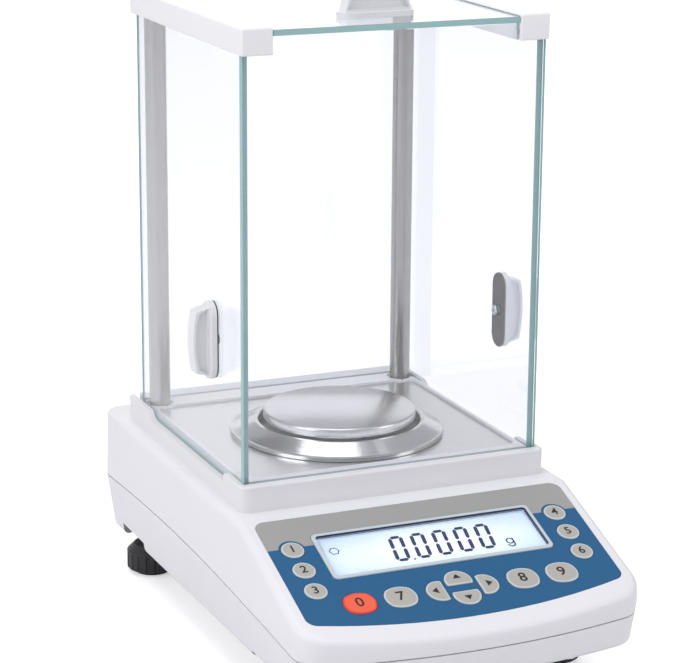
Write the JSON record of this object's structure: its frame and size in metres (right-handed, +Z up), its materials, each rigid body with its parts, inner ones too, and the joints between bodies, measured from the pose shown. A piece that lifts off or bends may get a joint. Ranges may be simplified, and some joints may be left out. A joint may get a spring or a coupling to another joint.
{
  "type": "analytical balance",
  "caption": "Laboratory balance with a glass draft shield, sliding side and top doors, round steel pan, sloping keypad with display and levelling feet.",
  "frame": {"origin": "centre of the assembly's bounding box, at the underside of the foot pads", "axes": "+Z up, -Y towards the keyboard and the user, +X to the user's right"},
  "size_m": [0.1962, 0.325, 0.3561],
  "materials": {
    "housing_white": "satin light grey-white moulding",
    "tray_grey": "satin light grey",
    "rail_white": "satin white",
    "clear_glass": "clear float glass with green-blue edges",
    "pan_steel": "brushed stainless steel",
    "post_steel": "drawn stainless steel",
    "alloy": "cast alloy",
    "magnet_iron": "plated soft iron",
    "screw_steel": "zinc plated",
    "bush_brass": "turned",
    "foot_black": "satin black moulding",
    "foot_rubber": "matte",
    "pad_rubber": "matte dark grey",
    "keypad_film": "printed film, grey above and blue below",
    "bezel_grey": "satin pale grey",
    "window_clear": "clear window",
    "lcd_pale": "pale blue liquid crystal with dark digits",
    "board_green": "circuit board",
    "connector_metal": "tinned shell",
    "connector_black": "black moulding",
    "handle_grey": "silver-grey moulding",
    "key_grey": "soft grey",
    "key_orange": "soft orange-red",
    "vial_glass": "vial with tinted fluid"
  },
  "bodies": {
    "base": {"upper_housing": "housing_white", "lower_housing": "housing_white", "chassis_plate": "alloy", "housing_screws": "screw_steel", "chamber_tray": "tray_grey", "corner_posts": "post_steel", "front_glass": "clear_glass", "rear_glass": "clear_glass", "left_rail": "rail_white", "right_rail": "rail_white", "rear_bar": "rail_white", "keypad_overlay": "keypad_film", "display_bezel": "bezel_grey", "display_window": "window_clear", "lcd_module": "lcd_pale", "display_board": "board_green", "main_board": "board_green", "power_socket": "connector_black", "serial_port": "connector_metal", "level_vial": "vial_glass", "cell_frame": "alloy", "magnet_pot": "magnet_iron", "foot_bushes": "bush_brass"},
    "floor": {"floor_plate": "pan_steel"},
    "ring": {"draft_ring": "pan_steel"},
    "pan": {"weighing_pan": "pan_steel"},
    "carrier": {"load_carrier": "post_steel"},
    "lever": {"lever_beam": "alloy"},
    "left_door": {"left_door_glass": "clear_glass", "left_handle": "handle_grey", "left_handle_pad": "pad_rubber", "left_handle_screw": "screw_steel"},
    "right_door": {"right_door_glass": "clear_glass", "right_handle": "handle_grey", "right_handle_pad": "pad_rubber", "right_handle_screw": "screw_steel"},
    "top_door": {"top_glass": "clear_glass", "top_handle": "handle_grey"},
    "key_left_upper_body": {"key_left_upper": "key_grey"},
    "key_left_middle_body": {"key_left_middle": "key_grey"},
    "key_left_lower_body": {"key_left_lower": "key_grey"},
    "key_right_upper_body": {"key_right_upper": "key_grey"},
    "key_right_middle_body": {"key_right_middle": "key_grey"},
    "key_right_lower_body": {"key_right_lower": "key_grey"},
    "key_outer_left_body": {"key_outer_left": "key_orange"},
    "key_inner_left_body": {"key_inner_left": "key_grey"},
    "key_inner_right_body": {"key_inner_right": "key_grey"},
    "key_outer_right_body": {"key_outer_right": "key_grey"},
    "key_arrow_up_body": {"key_arrow_up": "key_grey"},
    "key_arrow_down_body": {"key_arrow_down": "key_grey"},
    "key_arrow_left_body": {"key_arrow_left": "key_grey"},
    "key_arrow_right_body": {"key_arrow_right": "key_grey"},
    "pad_front_left": {"foot_pad_front_left": "foot_rubber"},
    "wheel_front_left": {"foot_wheel_front_left": "foot_black"},
    "pad_front_right": {"foot_pad_front_right": "foot_rubber"},
    "wheel_front_right": {"foot_wheel_front_right": "foot_black"},
    "pad_rear_left": {"foot_pad_rear_left": "foot_rubber"},
    "wheel_rear_left": {"foot_wheel_rear_left": "foot_black"},
    "pad_rear_right": {"foot_pad_rear_right": "foot_rubber"},
    "wheel_rear_right": {"foot_wheel_rear_right": "foot_black"}
  },
  "joints": [
    {"name": "left_door_slide", "type": "slide", "parent": "base", "child": "left_door", "axis": [0, 1, 0], "range_m": [0, 0.1]},
    {"name": "right_door_slide", "type": "slide", "parent": "base", "child": "right_door", "axis": [0, 1, 0], "range_m": [0, 0.1]},
    {"name": "top_door_slide", "type": "slide", "parent": "base", "child": "top_door", "axis": [0, 1, 0], "range_m": [0, 0.11]},
    {"name": "floor_lift", "type": "slide", "parent": "base", "child": "floor", "axis": [0, 0, 1], "range_m": [0, 0.025]},
    {"name": "ring_lift", "type": "slide", "parent": "floor", "child": "ring", "axis": [0, 0, 1], "range_m": [0, 0.01]},
    {"name": "load_travel", "type": "slide", "parent": "base", "child": "carrier", "axis": [0, 0, 1], "range_m": [-0.0003, 0], "stiffness_N_per_m": 20000, "springref_m": 0.0003},
    {"name": "pan_lift", "type": "slide", "parent": "carrier", "child": "pan", "axis": [0, 0, 1], "range_m": [0, 0.02]},
    {"name": "lever_pivot", "type": "hinge", "parent": "base", "child": "lever", "pos_m": [0, 0.056, 0.064], "axis": [1, 0, 0], "range_deg": [-0.01, 0.67]},
    {"name": "key_left_upper_press", "type": "slide", "parent": "base", "child": "key_left_upper_body", "axis": [0, 0.342, -0.9397], "range_m": [0, 0.0005], "stiffness_N_per_m": 800, "springref_m": -0.0005},
    {"name": "key_left_middle_press", "type": "slide", "parent": "base", "child": "key_left_middle_body", "axis": [0, 0.342, -0.9397], "range_m": [0, 0.0005], "stiffness_N_per_m": 800, "springref_m": -0.0005},
    {"name": "key_left_lower_press", "type": "slide", "parent": "base", "child": "key_left_lower_body", "axis": [0, 0.342, -0.9397], "range_m": [0, 0.0005], "stiffness_N_per_m": 800, "springref_m": -0.0005},
    {"name": "key_right_upper_press", "type": "slide", "parent": "base", "child": "key_right_upper_body", "axis": [0, 0.342, -0.9397], "range_m": [0, 0.0005], "stiffness_N_per_m": 800, "springref_m": -0.0005},
    {"name": "key_right_middle_press", "type": "slide", "parent": "base", "child": "key_right_middle_body", "axis": [0, 0.342, -0.9397], "range_m": [0, 0.0005], "stiffness_N_per_m": 800, "springref_m": -0.0005},
    {"name": "key_right_lower_press", "type": "slide", "parent": "base", "child": "key_right_lower_body", "axis": [0, 0.342, -0.9397], "range_m": [0, 0.0005], "stiffness_N_per_m": 800, "springref_m": -0.0005},
    {"name": "key_outer_left_press", "type": "slide", "parent": "base", "child": "key_outer_left_body", "axis": [0, 0.342, -0.9397], "range_m": [0, 0.0005], "stiffness_N_per_m": 800, "springref_m": -0.0005},
    {"name": "key_inner_left_press", "type": "slide", "parent": "base", "child": "key_inner_left_body", "axis": [0, 0.342, -0.9397], "range_m": [0, 0.0005], "stiffness_N_per_m": 800, "springref_m": -0.0005},
    {"name": "key_inner_right_press", "type": "slide", "parent": "base", "child": "key_inner_right_body", "axis": [0, 0.342, -0.9397], "range_m": [0, 0.0005], "stiffness_N_per_m": 800, "springref_m": -0.0005},
    {"name": "key_outer_right_press", "type": "slide", "parent": "base", "child": "key_outer_right_body", "axis": [0, 0.342, -0.9397], "range_m": [0, 0.0005], "stiffness_N_per_m": 800, "springref_m": -0.0005},
    {"name": "key_arrow_up_press", "type": "slide", "parent": "base", "child": "key_arrow_up_body", "axis": [0, 0.342, -0.9397], "range_m": [0, 0.0005], "stiffness_N_per_m": 800, "springref_m": -0.0005},
    {"name": "key_arrow_down_press", "type": "slide", "parent": "base", "child": "key_arrow_down_body", "axis": [0, 0.342, -0.9397], "range_m": [0, 0.0005], "stiffness_N_per_m": 800, "springref_m": -0.0005},
    {"name": "key_arrow_left_press", "type": "slide", "parent": "base", "child": "key_arrow_left_body", "axis": [0, 0.342, -0.9397], "range_m": [0, 0.0005], "stiffness_N_per_m": 800, "springref_m": -0.0005},
    {"name": "key_arrow_right_press", "type": "slide", "parent": "base", "child": "key_arrow_right_body", "axis": [0, 0.342, -0.9397], "range_m": [0, 0.0005], "stiffness_N_per_m": 800, "springref_m": -0.0005},
    {"name": "foot_height_front_left", "type": "slide", "parent": "base", "child": "pad_front_left", "axis": [0, 0, -1], "range_m": [0, 0.0075]},
    {"name": "wheel_turn_front_left", "type": "hinge", "parent": "pad_front_left", "child": "wheel_front_left", "pos_m": [-0.078, -0.084, 0.01], "axis": [0, 0, -1], "range_deg": [0, 2162]},
    {"name": "foot_height_front_right", "type": "slide", "parent": "base", "child": "pad_front_right", "axis": [0, 0, -1], "range_m": [0, 0.0075]},
    {"name": "wheel_turn_front_right", "type": "hinge", "parent": "pad_front_right", "child": "wheel_front_right", "pos_m": [0.078, -0.084, 0.01], "axis": [0, 0, -1], "range_deg": [0, 2162]},
    {"name": "foot_height_rear_left", "type": "slide", "parent": "base", "child": "pad_rear_left", "axis": [0, 0, -1], "range_m": [0, 0.0075]},
    {"name": "wheel_turn_rear_left", "type": "hinge", "parent": "pad_rear_left", "child": "wheel_rear_left", "pos_m": [-0.078, 0.126, 0.01], "axis": [0, 0, -1], "range_deg": [0, 2162]},
    {"name": "foot_height_rear_right", "type": "slide", "parent": "base", "child": "pad_rear_right", "axis": [0, 0, -1], "range_m": [0, 0.0075]},
    {"name": "wheel_turn_rear_right", "type": "hinge", "parent": "pad_rear_right", "child": "wheel_rear_right", "pos_m": [0.078, 0.126, 0.01], "axis": [0, 0, -1], "range_deg": [0, 2162]}
  ],
  "couplings": [
    {"joint": "lever_pivot", "follows": "load_travel", "rad_per_m": -38.462},
    {"joint": "wheel_turn_front_left", "follows": "foot_height_front_left", "rad_per_m": 5026.5},
    {"joint": "wheel_turn_front_right", "follows": "foot_height_front_right", "rad_per_m": 5026.5},
    {"joint": "wheel_turn_rear_left", "follows": "foot_height_rear_left", "rad_per_m": 5026.5},
    {"joint": "wheel_turn_rear_right", "follows": "foot_height_rear_right", "rad_per_m": 5026.5}
  ]
}
